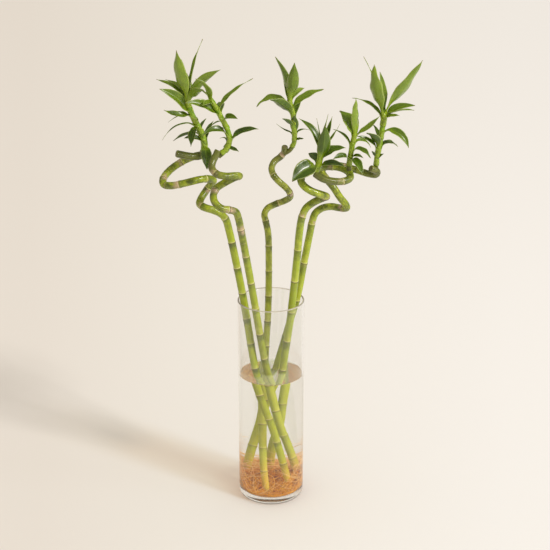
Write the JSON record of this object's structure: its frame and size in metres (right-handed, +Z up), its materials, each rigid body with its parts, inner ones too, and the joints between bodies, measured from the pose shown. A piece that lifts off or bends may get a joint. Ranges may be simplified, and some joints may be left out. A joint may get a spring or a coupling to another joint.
{
  "type": "lucky bamboo in a glass vase",
  "caption": "Spiral lucky bamboo canes with leafy green shoots, standing in a clear cylindrical glass vase of water over a mat of orange roots.",
  "frame": {"origin": "centre of the vase's flat underside, on the surface that it stands on", "axes": "+Z up, -Y towards the viewer of the picture, +X to the viewer's right"},
  "size_m": [0.3427, 0.1661, 0.6573],
  "materials": {
    "clear_glass": "clear blown soda-lime glass, fire-polished rim, thick base",
    "water": "clear still water, faintly tinted by the roots",
    "root_orange": "matted fine roots, orange-brown, wet and fibrous",
    "cane_green": "living cane, waxy yellow-green skin with pale brown joint rings",
    "leaf_green": "living leaf, semi-gloss mid green with fine lengthwise veins"
  },
  "bodies": {
    "root": {"vase": "clear_glass", "water": "water", "roots": "root_orange", "cane_1": "cane_green", "cane_2": "cane_green", "cane_3": "cane_green", "cane_4": "cane_green", "cane_5": "cane_green", "shoot_1": "leaf_green", "shoot_2": "leaf_green", "shoot_3": "leaf_green", "shoot_4": "leaf_green", "shoot_5": "leaf_green", "shoot_6": "leaf_green"}
  },
  "joints": []
}
